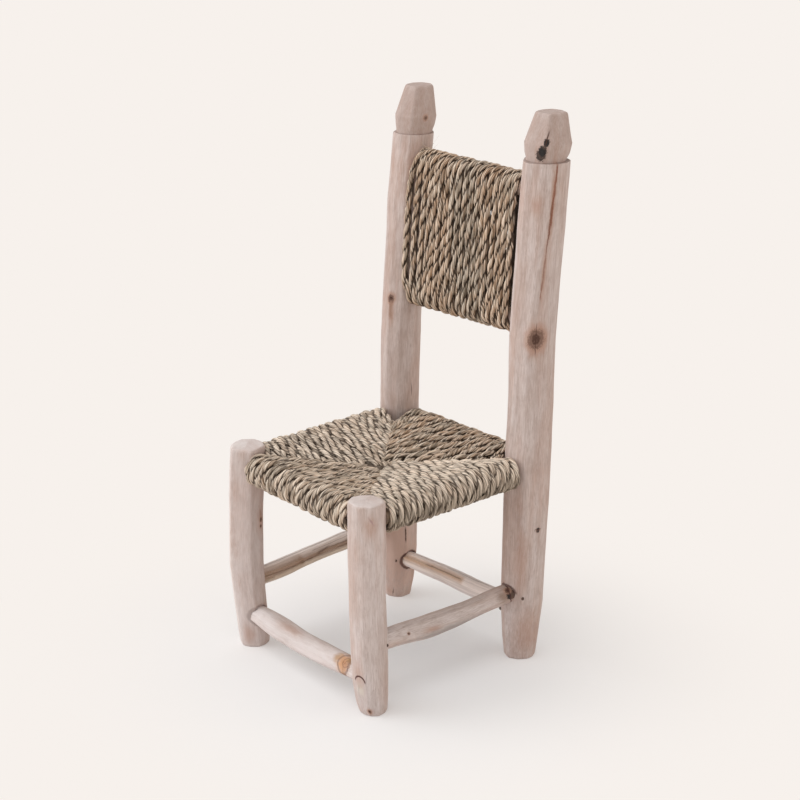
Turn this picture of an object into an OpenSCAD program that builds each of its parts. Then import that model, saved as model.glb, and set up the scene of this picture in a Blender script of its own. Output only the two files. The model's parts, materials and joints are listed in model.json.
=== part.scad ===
// Rush-seated wooden chair for a child: four debarked branch posts, four whittled rungs,
// four seat rails under an envelope-woven rope seat, and two back rails under a rope winding.
// Frame: +X is the sitter's left, -Y is the front, Z is up and the feet stand on Z = 0.

/* [Chair] */
// Height of the back posts
back_h = 700; // [670:5:740]
// Height of the front posts
front_h = 276; // [270:2:286]
// Distance between the axes of the left and right posts
span_x = 245; // [236:1:252]
// Distance between the axes of the front and back posts
span_y = 246; // [238:1:254]
// How far the back posts lean back at their tops
back_lean = 30; // [22:1:34]
// How far the front posts bow outwards
front_bow = 5; // [0:0.5:6]

/* [Posts] */
// Diameter of a front post
front_post_d = 44; // [42:0.5:45]
// Diameter of the thinner back post
thin_post_d = 52; // [49:0.5:54]
// Diameter of the thicker back post
thick_post_d = 57; // [54:0.5:59]
// Height of the carved knob on a back post
knob_h = 57; // [52:1:62]
// Depth of the step under the knob
knob_step = 3; // [2:0.5:4]

/* [Rungs] */
// Diameter of the front rung
front_rung_d = 27; // [24:0.5:28]
// Diameter of the left rung
left_rung_d = 24.5; // [22:0.5:26]
// Diameter of the right rung
right_rung_d = 29; // [26:0.5:30]
// Diameter of the back rung
back_rung_d = 23.5; // [22:0.5:25]
// Diameter of the whittled ends of the rungs
rung_tenon_d = 14; // [12:0.5:15]
// Height of the front rung
front_rung_z = 43; // [41:1:50]
// Height of the left rung, which climbs to the back
left_rung_z = 98; // [96:1:104]
// Rise of the left rung from front to back
left_rung_rise = 23; // [10:1:24]
// Height of the right rung
right_rung_z = 89; // [86:1:94]
// Height of the back rung
back_rung_z = 60; // [54:1:62]

/* [Seat] */
// Height of the seat rails at the middle of the seat
seat_rail_z = 253; // [247:1:256]
// Rise of the seat rails from front to back
seat_rise = 8; // [2:1:10]
// Diameter of the seat and back rails
rail_d = 22; // [20:0.5:23]
// Diameter of the rail ends in the posts
rail_tenon_d = 16; // [14:0.5:16.5]
// Diameter of the seat rope
seat_rope_d = 11; // [9:0.5:12]
// How far the top of the seat dips at its centre
seat_dip = 16; // [10:1:18]

/* [Back] */
// Height of the upper back rail
upper_rail_z = 605; // [585:1:610]
// Height of the lower back rail
lower_rail_z = 441; // [430:1:455]
// Rise of the lower back rail from left to right
lower_rail_rise = 7; // [0:1:10]
// Diameter of the back rope
back_rope_d = 9.7; // [8:0.1:9.8]
// Smallest clearance between the turns of the back rope
back_turn_gap = 0.45; // [0.45:0.05:1.5]

/* [Nails] */
// Diameter of a nail
nail_d = 2; // [1.6:0.1:2.4]
// Diameter of a nail head
nail_head_d = 4; // [3.4:0.1:4.6]

/* [Fits] */
// Clearance of a tenon or nail in its hole, on the radius
fit = 0.15; // [0.1:0.05:0.25]
// Clearance between the rope work and the wood
rope_gap = 0.3; // [0.3:0.05:0.4]
// Distance between the end of a tenon and the axis of its post
tenon_stop = 8.5; // [8.4:0.1:9]

/* [Hidden] */
$fn = 48;

post_sides = 20;
rung_sides = 12;
rope_sides = 6;
rings_per_turn = 24;
wood = "#C9B8AD";
rail_wood = "#B9A48F";
rope = "#A8977C";
iron = "#5A524C";

// The posts stand so that the chair's bounding box is centred on the origin
shift_x = -1.4;
shift_y = -13.5;
rail_r = rail_d / 2;
tenon_length = 40;
edge_round = 3;
step_round = 1;
// A rung starts this far off its post, and is scribed this far above and below its axis
rung_start = 1;
rung_clear = 25;
tenon_overlap = 3;
nail_head_h = 1.2;
// How far a nail head stands out of its post
nail_proud = 0.6;
// Room at the first turn of the back rope for its tail
tail_room = 0.5;
// A strand of the seat is this share of the pitch thick, and the valleys between the
// strands are filled to this share of the rope's diameter above the strands' middle
strand_share = 0.98;
valley_share = 0.2;
// Round the rail the strands stand this much prouder than on the flat sheets
roll_swell = 0.15;
sheet_lap = 1;
// Room between the outermost strands of the seat and the posts
post_room = 1.1;

// A post is [foot x, foot y, height, diameter, shape]. A shape holds rows of
// [share of the height, bow along x, bow along y, share of the radius]. The bows of the
// front posts are shares of front_bow, and those of the back posts are shares of back_lean.
front_left_shape = [
    [0, 0.2, 0.2, 0.83], [0.06, 0.1, 0.1, 0.92], [0.22, -0.36, -0.44, 0.95],
    [0.42, -0.84, -1.02, 1], [0.72, -0.68, -0.84, 1], [1, -0.2, -0.24, 1.01],
];
front_right_shape = [
    [0, 0.5, 0.6, 0.74], [0.05, 0.24, 0.32, 0.86], [0.15, 0, 0, 0.95],
    [0.3, -0.16, -0.18, 0.99], [0.54, -0.38, -0.46, 1], [1, -0.48, -0.58, 1.01],
];
back_left_shape = [
    [0, 0, -0.04, 0.7], [0.04, 0, -0.03, 0.88], [0.1, 0, 0, 0.98], [0.4, 0, 0.04, 1],
    [0.58, 0, 0.16, 1], [0.8, 0, 0.53, 1], [1, 0, 1.03, 1],
];
back_right_shape = [
    [0, 0, 0.03, 0.7], [0.04, 0, 0.03, 0.82], [0.11, 0, 0.09, 0.96], [0.3, 0, 0.2, 1],
    [0.5, 0, 0.27, 0.99], [0.61, 0, 0.29, 1], [0.92, 0, 0.72, 1], [1, 0, 0.86, 1],
];
function bowed(shape, bow) = [for (s = shape) [s[0], s[1] * bow, s[2] * bow, s[3]]];

left_x = shift_x - span_x / 2;
right_x = shift_x + span_x / 2;
front_y = shift_y - span_y / 2;
back_y = shift_y + span_y / 2;
front_left = [left_x, front_y, front_h, front_post_d, bowed(front_left_shape, front_bow)];
front_right = [right_x, front_y, front_h, front_post_d, bowed(front_right_shape, front_bow)];
back_left = [left_x, back_y, back_h, thin_post_d, bowed(back_left_shape, back_lean)];
back_right = [right_x, back_y, back_h, thick_post_d, bowed(back_right_shape, back_lean)];

function column(post, k) = [for (s = post[4]) [s[0] * post[2], s[k]]];
function axis(post, z) = [
    post[0] + lookup(z, column(post, 1)), post[1] + lookup(z, column(post, 2)), z,
];
function radius(post, z) = post[3] / 2 * lookup(z, column(post, 3));
function unit(v) = v / norm(v);

// Every bar is [axis point in its first post, axis point in its second post,
// first post's radius there, second post's radius there, the way the first post runs
// there, the way the second post runs there]
function bar(post_a, z_a, post_b, z_b) = [
    axis(post_a, z_a), axis(post_b, z_b), radius(post_a, z_a), radius(post_b, z_b),
    run_at(post_a, z_a), run_at(post_b, z_b),
];
function run_at(post, z) = unit(axis(post, z + rung_clear) - axis(post, z - rung_clear));
front_rung = bar(front_left, front_rung_z + 2, front_right, front_rung_z - 2);
right_rung = bar(front_right, right_rung_z, back_right, right_rung_z);
back_rung = bar(back_right, back_rung_z + 3, back_left, back_rung_z - 3);
left_rung = bar(back_left, left_rung_z + left_rung_rise / 2,
    front_left, left_rung_z - left_rung_rise / 2);

seat_front_z = seat_rail_z - seat_rise / 2;
seat_back_z = seat_rail_z + seat_rise / 2;
front_rail = bar(front_left, seat_front_z, front_right, seat_front_z);
right_rail = bar(front_right, seat_front_z, back_right, seat_back_z);
back_rail = bar(back_right, seat_back_z, back_left, seat_back_z);
left_rail = bar(back_left, seat_back_z, front_left, seat_front_z);
seat_centre = (front_rail[0] + front_rail[1] + back_rail[0] + back_rail[1]) / 4;

upper_rail = bar(back_left, upper_rail_z, back_right, upper_rail_z);
lower_rail = bar(back_left, lower_rail_z - lower_rail_rise / 2,
    back_right, lower_rail_z + lower_rail_rise / 2);

// Moves the z axis onto the line from a to b, with the origin at a
module along(a, b) {
    d = unit(b - a);
    translate(a) rotate([0, acos(d.z), atan2(d.y, d.x)]) children();
}

// A closed skin through level rings, each [x, y, z, radius]
module skin(rings, sides) {
    count = len(rings);
    points = [for (s = rings) for (k = [0:sides - 1])
        [s[0] + s[3] * cos(360 * k / sides), s[1] + s[3] * sin(360 * k / sides), s[2]]];
    polyhedron(points, skin_faces(count, sides));
}

// Triangles between the rings of a skin, and fans that close its ends
function skin_faces(count, sides) = concat(
    [for (i = [0:count - 2]) for (k = [0:sides - 1])
        [i * sides + k, (i + 1) * sides + k, i * sides + (k + 1) % sides]],
    [for (i = [0:count - 2]) for (k = [0:sides - 1])
        [i * sides + (k + 1) % sides, (i + 1) * sides + k, (i + 1) * sides + (k + 1) % sides]],
    [for (k = [1:sides - 2]) [0, k, k + 1]],
    [for (k = [1:sides - 2]) let (top = (count - 1) * sides) [top, top + k + 1, top + k]]
);

function post_ring(post, z, cut) = let (c = axis(post, z)) [c.x, c.y, z, radius(post, z) - cut];

// Heights of the rings of a plain post, at its shape's rows and between them
function post_levels(post, top) = let (rows = [for (s = post[4]) s[0] * post[2]]) [
    for (i = [0:len(rows) - 2]) for (half = [0, 0.5])
        let (z = rows[i] * (1 - half) + rows[i + 1] * half) if (z < top - 1) z,
];

module front_post(post) {
    color(wood) skin(concat(
        [for (z = post_levels(post, front_h - edge_round)) post_ring(post, z, 0)],
        [post_ring(post, front_h - edge_round, 0)],
        [post_ring(post, front_h - edge_round / 3, edge_round / 3)],
        [post_ring(post, front_h, edge_round)]
    ), post_sides);
}

module back_post(post) {
    knob_z = back_h - knob_h;
    r = post[3] / 2;
    color(wood) skin(concat(
        [for (z = post_levels(post, knob_z - step_round)) post_ring(post, z, 0)],
        [post_ring(post, knob_z - step_round, 0)],
        [for (s = [[0, knob_step], [0.18, knob_step * 0.4], [0.34, 0], [0.5, 0.07 * r],
            [0.72, 0.18 * r], [0.88, 0.27 * r], [0.97, 0.33 * r], [1, 0.4 * r]])
            post_ring(post, knob_z + knob_h * s[0], s[1])]
    ), post_sides);
}

// The hole of a bar's tenon, from its stop outwards
module mortise(from, to, d) {
    along(from, to) translate([0, 0, tenon_stop]) cylinder(d = d + 2 * fit, h = tenon_length);
}

module bar_holes(b, d) {
    mortise(b[0], b[1], d);
    mortise(b[1], b[0], d);
}

module frame_holes() {
    for (b = [front_rung, right_rung, back_rung, left_rung]) bar_holes(b, rung_tenon_d);
    for (b = [front_rail, right_rail, back_rail, left_rail]) bar_holes(b, rail_tenon_d);
    nail_set(2 * fit);
}

module back_rail_holes() {
    for (b = [upper_rail, lower_rail]) bar_holes(b, rail_tenon_d);
}

// A nail through the tenon at the first end of a bar, driven from the side named by face
module nail(from, to, r, face, extra) {
    inset = (tenon_stop + r) / 2;
    surface = sqrt(r * r - inset * inset);
    place = from + unit(to - from) * inset + face * surface;
    along(place, place - face) {
        translate([0, 0, -nail_proud]) cylinder(d = nail_head_d + extra, h = nail_head_h);
        cylinder(d = nail_d + extra, h = surface + rung_tenon_d / 4 + extra);
    }
}

module nail_pair(b, face, extra) {
    nail(b[0], b[1], b[2], face, extra);
    nail(b[1], b[0], b[3], face, extra);
}

module nail_set(extra) {
    nail_pair(right_rung, [1, 0, 0], extra);
    nail_pair(left_rung, [-1, 0, 0], extra);
    nail_pair(back_rung, [0, -1, 0], extra);
}

module rung_nails() {
    color(iron) nail_set(0);
}

module post_front_left() {
    difference() {
        front_post(front_left);
        frame_holes();
    }
}

module post_front_right() {
    difference() {
        front_post(front_right);
        frame_holes();
    }
}

module post_back_left() {
    difference() {
        back_post(back_left);
        frame_holes();
        back_rail_holes();
    }
}

module post_back_right() {
    difference() {
        back_post(back_right);
        frame_holes();
        back_rail_holes();
    }
}

// A whittled branch between two posts: bow is how far its middle leaves the straight line,
// and taper is the share by which its first end is thicker and its second end thinner.
// Its ends are scribed round the posts.
module rung(b, d, bow, taper) {
    length = norm(b[1] - b[0]);
    start = b[2] + rung_start;
    end = length - b[3] - rung_start;
    shape = [[-0.06, 0, 0.84], [0, 0, 0.87], [0.05, 0.05, 0.94], [0.14, 0.3, 1], [0.32, 0.75, 1.02],
        [0.5, 1, 1.03], [0.7, 0.7, 1], [0.87, 0.3, 0.98], [0.95, 0.05, 0.93], [1, 0, 0.87],
        [1.06, 0, 0.84]];
    color(wood) difference() {
        union() {
            difference() {
                along(b[0], b[1]) skin([for (s = shape) [
                    bow.x * s[1], bow.y * s[1], start + (end - start) * s[0],
                    d / 2 * s[2] * (1 + taper * (1 - 2 * s[0]))
                ]], rung_sides);
                for (k = [0, 1]) along(b[k] - rung_clear * b[4 + k], b[k] + rung_clear * b[4 + k])
                    cylinder(r = b[2 + k] + rung_start, h = 2 * rung_clear);
            }
            along(b[0], b[1]) {
                translate([0, 0, tenon_stop])
                    cylinder(d = rung_tenon_d, h = start + tenon_overlap - tenon_stop);
                translate([0, 0, end - tenon_overlap])
                    cylinder(d = rung_tenon_d, h = length - tenon_stop - end + tenon_overlap);
            }
        }
        nail_set(2 * fit);
    }
}

module rung_front() {
    rung(front_rung, front_rung_d, [4, 2], 0.2);
}

module rung_right() {
    rung(right_rung, right_rung_d, [4, 2], -0.12);
}

module rung_back() {
    rung(back_rung, back_rung_d, [-2, 2], 0);
}

module rung_left() {
    rung(left_rung, left_rung_d, [2, -2], 0);
}

// A round rail with shouldered tenons that reach the stops of their mortises
module rail(b) {
    length = norm(b[1] - b[0]);
    color(rail_wood) along(b[0], b[1]) {
        translate([0, 0, tenon_stop]) cylinder(d = rail_tenon_d, h = length - 2 * tenon_stop);
        translate([0, 0, b[2] + rope_gap]) cylinder(d = rail_d, h = length - b[2] - b[3] - 2 * rope_gap);
    }
}

module seat_rail_front() {
    rail(front_rail);
}

module seat_rail_right() {
    rail(right_rail);
}

module seat_rail_back() {
    rail(back_rail);
}

module seat_rail_left() {
    rail(left_rail);
}

module back_rail_upper() {
    rail(upper_rail);
}

module back_rail_lower() {
    rail(lower_rail);
}

// Strands side by side, as a profile: x runs along the rail, y is the height above the
// strands' middle plane
module strand_row(start, pitch, count, swell) {
    translate([start + pitch / 2, (valley_share - 1) * seat_rope_d])
        square([pitch * (count - 1), seat_rope_d + swell]);
    for (i = [0:count - 1]) translate([start + pitch * (i + 0.5), 0])
        circle(d = pitch * strand_share + 2 * swell);
}

// A flat sheet of strands that runs along y to the middle of the seat, at a height
module strand_sheet(start, pitch, count, height, reach) {
    translate([0, 0, height]) mirror([0, 0, height < 0 ? 1 : 0]) rotate([90, 0, 0])
        translate([0, 0, -reach]) linear_extrude(reach + sheet_lap)
            strand_row(start, pitch, count, 0);
}

// One triangular quarter of the seat. In its own frame x runs along the rail, y points
// to the middle of the seat and z points up.
module seat_quarter(b) {
    along_rail = unit(b[1] - b[0]);
    up = unit(cross(along_rail, seat_centre - b[0]));
    inward = cross(up, along_rail);
    length = norm(b[1] - b[0]);
    centre_x = (seat_centre - b[0]) * along_rail;
    centre_y = (seat_centre - b[0]) * inward;
    start = b[2] + post_room;
    clear = length - b[2] - b[3] - 2 * post_room;
    count = floor(clear / seat_rope_d);
    pitch = clear / count;
    turn_r = rail_r + rope_gap + seat_rope_d / 2;
    dip = atan(seat_dip / centre_y);
    lift = atan((2 * turn_r - seat_dip - seat_rope_d) / centre_y);
    reach = centre_y * 1.05;
    place = [
        [along_rail.x, inward.x, up.x, b[0].x],
        [along_rail.y, inward.y, up.y, b[0].y],
        [along_rail.z, inward.z, up.z, b[0].z],
        [0, 0, 0, 1],
    ];
    color(rope) multmatrix(place) difference() {
        intersection() {
            union() {
                // Strands on the top, round the rail and on the underside
                rotate([-dip, 0, 0]) strand_sheet(start, pitch, count, turn_r, reach);
                rotate([180 - dip, 0, 0]) rotate([0, 90, 0]) rotate_extrude(angle = 180 + dip + lift)
                    translate([turn_r, 0]) mirror([1, 0]) rotate(90)
                        strand_row(start, pitch, count, roll_swell);
                rotate([lift, 0, 0]) strand_sheet(start, pitch, count, -turn_r, reach);
                // The crossings between the two layers, inside the outermost strands
                translate([start + pitch, 0, 0]) rotate([90, 0, 90])
                    linear_extrude(pitch * (count - 2)) polygon([
                        [turn_r * sin(dip), turn_r * cos(dip)],
                        [turn_r * sin(lift), -turn_r * cos(lift)],
                        [reach, (reach * sin(lift) - turn_r) / cos(lift)],
                        [reach, (turn_r - reach * sin(dip)) / cos(dip)],
                    ]);
            }
            translate([0, 0, -2 * turn_r]) linear_extrude(4 * turn_r) polygon([
                [0, -2 * turn_r], [length, -2 * turn_r],
                [length, -rope_gap / 2], [centre_x, centre_y - rope_gap / 2], [0, -rope_gap / 2],
            ]);
        }
        rotate([0, 90, 0]) cylinder(r = rail_r + rope_gap, h = length);
    }
}

module seat_weave_front() {
    seat_quarter(front_rail);
}

module seat_weave_right() {
    seat_quarter(right_rail);
}

module seat_weave_back() {
    seat_quarter(back_rail);
}

module seat_weave_left() {
    seat_quarter(left_rail);
}

// The back rope winds round both back rails as one flat coil. Its ends are tucked between
// the two layers and stand square on a rail.
coil_r = rail_r + rope_gap + back_rope_d / 2;
rope_reach = back_rope_d / 2 + rope_gap;
coil_start = back_left[0] + thin_post_d / 2 + rope_reach + tail_room;
coil_end = back_right[0] - thick_post_d / 2 - rope_reach;
// The last turn stops a third of a turn early, so that its tail ends behind
coil_turns = floor((coil_end - coil_start) / (back_rope_d + back_turn_gap) + 1 / 3);
coil_pitch = (coil_end - coil_start) / (coil_turns - 1 / 3);
last_ring = coil_turns * rings_per_turn - 4;

function rail_at(b, x) = b[0] + (b[1] - b[0]) * (x - b[0].x) / (b[1].x - b[0].x);
function smooth(t) = let (c = min(1, max(0, t))) c * c * (3 - 2 * c);

// A point by its height between the rails, as a share, and its distance behind their plane
function back_point(x, share, behind) =
    let (low = rail_at(lower_rail, x), high = rail_at(upper_rail, x), up = unit(high - low))
    low + (high - low) * share + behind * unit([0, up.z, -up.y]);

// A point of a half turn round a rail, by its angle from the back over the top
function bend_point(b, x, angle) =
    let (up = unit(rail_at(upper_rail, x) - rail_at(lower_rail, x)))
    rail_at(b, x) + coil_r * (cos(angle) * unit([0, up.z, -up.y]) + sin(angle) * up);

function coil_point(n) =
    let (k = n % rings_per_turn, x = coil_start + coil_pitch * n / rings_per_turn)
    k < 9 ? bend_point(upper_rail, x, 22.5 * k)
    : k < 12 ? back_point(x, (12 - k) / 4, -coil_r)
    : k < 21 ? bend_point(lower_rail, x, 180 + 22.5 * (k - 12))
    : back_point(x, (k - 20) / 4, coil_r);

rail_spacing = norm(rail_at(upper_rail, 0) - rail_at(lower_rail, 0));
tuck = (rail_r + rope_gap) / rail_spacing;
straight = back_rope_d / rail_spacing;
tail_shares = [tuck, tuck + straight, 0.3, 0.42, 0.54, 0.66, 0.78, 0.9];

// The first tail climbs from the lower rail into the back layer, the last one goes the
// other way, from the back layer up to the upper rail
function tail_in(s) = back_point(
    coil_start - min(1 - s, 0.35) * coil_pitch / 8, s, coil_r * smooth((s - 0.2) / 0.7));
coil_tail_x = coil_start + coil_pitch * last_ring / rings_per_turn;
function tail_out(s) = back_point(
    coil_tail_x + coil_pitch * (s / 8 - 0.4 * smooth((s - 0.25) / 0.5)), s,
    coil_r * (1 - smooth((s - 0.1) / 0.7)));

coil_path = concat(
    [for (s = tail_shares) tail_in(s)],
    [for (n = [0:last_ring]) coil_point(n)],
    [for (i = [len(tail_shares) - 1:-1:0]) tail_out(1 - tail_shares[i])]
);

// Distance from a point to a straight piece of the rope's centre line
function to_segment(p, a, b) =
    let (t = min(1, max(0, (p - a) * (b - a) / ((b - a) * (b - a))))) norm(p - a - t * (b - a));

// Least gap of the rope to itself, from every point of its centre line to every piece
// that lies more than a quarter turn further on
least_gap = min([for (i = [0:len(coil_path) - 9])
    min([for (j = [i + 7:min(i + 40, len(coil_path) - 2)])
        to_segment(coil_path[i], coil_path[j], coil_path[j + 1])])]) - back_rope_d;
echo(least_gap_of_the_back_rope = least_gap);
assert(least_gap > 0.4, "The turns of the back rope touch: more clearance between them");

// A tube through the points of a path, with flat sides towards the neighbouring turns
module rope_tube(path, d) {
    last = len(path) - 1;
    points = [for (i = [0:last])
        let (
            t = unit(path[min(i + 1, last)] - path[max(i - 1, 0)]),
            u = unit([1, 0, 0] - t.x * t),
            v = cross(t, u)
        )
        for (k = [0:rope_sides - 1])
            let (angle = 360 * (k + 0.5) / rope_sides)
            path[i] + d / 2 * (cos(angle) * u + sin(angle) * v)];
    polyhedron(points, skin_faces(last + 1, rope_sides));
}

module back_winding() {
    color(rope) rope_tube(coil_path, back_rope_d);
}

post_front_left();
post_front_right();
post_back_left();
post_back_right();
rung_front();
rung_left();
rung_right();
rung_back();
rung_nails();
seat_rail_front();
seat_rail_right();
seat_rail_back();
seat_rail_left();
seat_weave_front();
seat_weave_right();
seat_weave_back();
seat_weave_left();
back_rail_upper();
back_rail_lower();
back_winding();
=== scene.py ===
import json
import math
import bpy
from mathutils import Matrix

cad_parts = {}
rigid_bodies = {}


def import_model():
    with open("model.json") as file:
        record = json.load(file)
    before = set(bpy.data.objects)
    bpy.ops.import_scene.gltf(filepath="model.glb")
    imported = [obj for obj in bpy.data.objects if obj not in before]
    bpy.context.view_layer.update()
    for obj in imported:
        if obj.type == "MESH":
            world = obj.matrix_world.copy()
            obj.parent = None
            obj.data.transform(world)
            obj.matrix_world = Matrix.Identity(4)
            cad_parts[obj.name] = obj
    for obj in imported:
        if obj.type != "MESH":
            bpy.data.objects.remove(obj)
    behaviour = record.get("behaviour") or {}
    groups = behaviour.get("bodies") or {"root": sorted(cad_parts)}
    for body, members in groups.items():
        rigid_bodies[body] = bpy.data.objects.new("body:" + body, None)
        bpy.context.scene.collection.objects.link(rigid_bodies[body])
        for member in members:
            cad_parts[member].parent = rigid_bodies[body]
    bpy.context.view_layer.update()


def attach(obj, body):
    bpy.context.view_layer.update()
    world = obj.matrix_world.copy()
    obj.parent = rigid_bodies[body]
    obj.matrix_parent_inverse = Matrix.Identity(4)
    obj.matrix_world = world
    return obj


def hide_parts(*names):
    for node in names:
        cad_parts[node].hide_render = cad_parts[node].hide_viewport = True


bl_info = {
    "name": "Rope-Seated Branch Chair",
    "version": (1, 0, 0),
    "blender": (4, 5, 0),
    "location": "3D View > Sidebar > Chair",
    "description": "Whittled posts and rungs, a woven rope seat and a rope-wound back",
    "category": "Add Mesh",
}

import bpy
import numpy as np
from bpy.props import FloatProperty, FloatVectorProperty, IntProperty, PointerProperty
from bpy.types import Operator, Panel, PropertyGroup
from mathutils import Vector

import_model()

MM = 0.001


def srgb(text):
    """A hex colour as the linear RGBA that the shaders use."""
    channels = [int(text[i : i + 2], 16) / 255 for i in (0, 2, 4)]
    linear = [c / 12.92 if c <= 0.04045 else ((c + 0.055) / 1.055) ** 2.4 for c in channels]
    return (*linear, 1.0)


def colour(name, text, description):
    """A colour property with a hex default."""
    return FloatVectorProperty(
        name=name, description=description, default=srgb(text), min=0, max=1, size=4,
        subtype="COLOR",
    )


def length_mm(name, default, low, high, description):
    """A length property, from its values in millimetres."""
    return FloatProperty(
        name=name, description=description, default=default * MM, min=low * MM, max=high * MM,
        subtype="DISTANCE", unit="LENGTH",
    )


def factor(name, default, high, description):
    """A share, from 0 to its highest value."""
    return FloatProperty(
        name=name, description=description, default=default, min=0, max=high, subtype="FACTOR"
    )


def strength(name, default, description):
    """The strength of a light."""
    return FloatProperty(name=name, description=description, default=default, min=0, max=10)


def whole(name, default, low, high, description):
    """A whole number."""
    return IntProperty(name=name, description=description, default=default, min=low, max=high)


# ---------------------------------------------------------------- settings


class ChairWood(PropertyGroup):
    """Sizes and colours of the posts, rungs and rails."""

    pale: colour("Pale", "E2D7D3", "The lightest, whitewashed wood")
    body: colour("Body", "CAB5AA", "The wood's main pinkish beige")
    shade: colour("Shade", "A78E82", "The darker grain between the washed streaks")
    heart: colour("Heart", "B28974", "Reddish wood round knots and cracks")
    knot: colour("Knot", "472A1E", "The middle of a knot")
    soot: colour("Soot", "241E1C", "Colour of the blackened knot")
    bare: colour("Bare", "C9A780", "Unwashed wood of the rails")
    facets: whole("Knife cuts", 10, 6, 16, "Number of flats round a post")
    facet_depth: factor("Cut depth", 0.03, 0.1, "How much the flats vary, as a share of the radius")
    ring_step: length_mm("Ring spacing", 2.4, 1, 8, "Distance between a post's rings")


class ChairRope(PropertyGroup):
    """Sizes and colours of the two-ply rope."""

    straw: colour("Straw", "F1DECA", "The light blades of the rope")
    body: colour("Body", "BA9A7B", "The rope's main grey tan")
    moss: colour("Moss", "8B7D6A", "The grey-green blades")
    rust: colour("Rust", "C29670", "The orange-tan blades")
    # Dark is the colour of the dark strips along the blades and of the painted shade in the rope's
    # creases and under the seat's edge
    dark: colour("Dark", "35251A", "The creases between the blades")
    lay: length_mm("Lay", 50, 15, 80, "Length in which a ply turns once round the rope")
    seat_thickness: length_mm("Seat rope", 10.8, 6, 16, "Diameter of the rope of the seat")
    back_thickness: length_mm("Back rope", 9.3, 6, 16, "Diameter of the rope wound round the back")
    blades: whole("Blades", 4, 3, 10, "Number of leaf blades that show round a ply")


class ChairStage(PropertyGroup):
    """The studio round the chair."""

    paper: colour("Paper", "F7F1EC", "The pale floor and background")
    key_strength: strength("Key light", 1.34, "Strength of the high soft lamp")
    side_strength: strength("Side light", 1.5, "Strength of the low lamp at the left")
    back_strength: strength("Back light", 0.6, "Strength of the low lamp at the back")
    sky_strength: strength("Sky", 0.45, "Strength of the even light from all round")
    shadow_reach: length_mm("Shadow reach", 300, 50, 5000, "Where the shadow has half faded")
    shadow_share: factor("Shadow", 0.84, 1, "How strongly the floor shows the chair's shadow")


# ---------------------------------------------------------------- shader expressions


class Value:
    """A shader socket that takes part in arithmetic. Each operator adds its Math node."""

    def __init__(self, shader, socket):
        self.shader = shader
        self.socket = socket

    def _math(self, operation, *inputs, clamp=False):
        return self.shader.node(
            "Math", {"operation": operation, "use_clamp": clamp}, dict(enumerate(inputs))
        )

    def __add__(self, other):
        return self._math("ADD", self, other)

    def __sub__(self, other):
        return self._math("SUBTRACT", self, other)

    def __rsub__(self, other):
        return self._math("SUBTRACT", other, self)

    def __mul__(self, other):
        return self._math("MULTIPLY", self, other)

    def __truediv__(self, other):
        return self._math("DIVIDE", self, other)

    def __pow__(self, other):
        return self._math("POWER", self, other)

    __radd__ = __add__
    __rmul__ = __mul__

    def clamped(self):
        return self._math("ADD", self, 0, clamp=True)

    def size(self):
        return self._math("ABSOLUTE", self)

    def above(self, edge, softness):
        """0 below an edge and 1 above it, with a soft step between."""
        return self.shader.node(
            "MapRange",
            {"interpolation_type": "SMOOTHSTEP"},
            {"Value": self, "From Min": edge - softness, "From Max": edge + softness},
        )

    def below(self, edge, softness):
        return 1 - self.above(edge, softness)


class Tree:
    """A node tree under construction."""

    def __init__(self, tree):
        self.tree = tree

    def node(self, kind, settings=None, inputs=None, output=0):
        """Adds a node: its settings first, then the values or links of its sockets."""
        made = self.tree.nodes.new("ShaderNode" + kind)
        for key, value in (settings or {}).items():
            setattr(made, key, value)
        for key, value in (inputs or {}).items():
            self.feed(made.inputs[key], value)
        return Value(self, made.outputs[output])

    def feed(self, socket, value):
        """Links a value to a socket, or sets a plain number or colour on it."""
        if isinstance(value, Value):
            self.tree.links.new(value.socket, socket)
        else:
            socket.default_value = value


class Shader(Tree):
    """A material under construction."""

    def __init__(self, name):
        self.material = bpy.data.materials.new(name)
        self.material.use_nodes = True
        super().__init__(self.material.node_tree)
        self.surface = self.tree.nodes["Principled BSDF"]

    def set(self, **inputs):
        """Feeds the surface's sockets, with _ for a space in their names."""
        for key, value in inputs.items():
            self.feed(self.surface.inputs[key.replace("_", " ")], value)

    def mix(self, share, low, high):
        """Two colours mixed by a share."""
        return self.node("Mix", {"data_type": "RGBA"}, {0: share, 6: low, 7: high}, 2)

    def attribute(self, name, output):
        return self.node("Attribute", {"attribute_name": name}, None, output)

    def parts(self, vector):
        """The three components of a vector."""
        split = self.node("SeparateXYZ", None, {0: vector}).socket.node
        return [Value(self, socket) for socket in split.outputs]

    def coats(self, skin, *coats):
        """Colours laid over a skin in turn. Each coat is [share, colour]."""
        for share, hue in coats:
            skin = self.mix(share, skin, hue)
        return skin

    def noise(self, place, scale, detail, roughness, along=1.0):
        """Even noise from 0 to 1, drawn out along z where along is under 1."""
        scaled = self.node("VectorMath", {"operation": "MULTIPLY"}, {0: place, 1: (1, 1, along)})
        inputs = {"Vector": scaled, "Scale": scale, "Detail": detail, "Roughness": roughness}
        return self.node("TexNoise", None, inputs)

    def bump(self, height, depth, distance):
        return self.node("Bump", None, {"Height": height, "Strength": depth, "Distance": distance})


# ---------------------------------------------------------------- the chair's lines


def branch(side, front, height, radius, bow, *table):
    """A post: [side, front], its height and radius, and its shape from the foot up.

    A row of the table is [share of the height, bow in x and in y, share of the radius]. The bows
    are given in units of bow, and kept in millimetres like the heights.
    """
    return (side, front), height, radius, np.array(table) * (height, bow, bow, 1)


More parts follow.
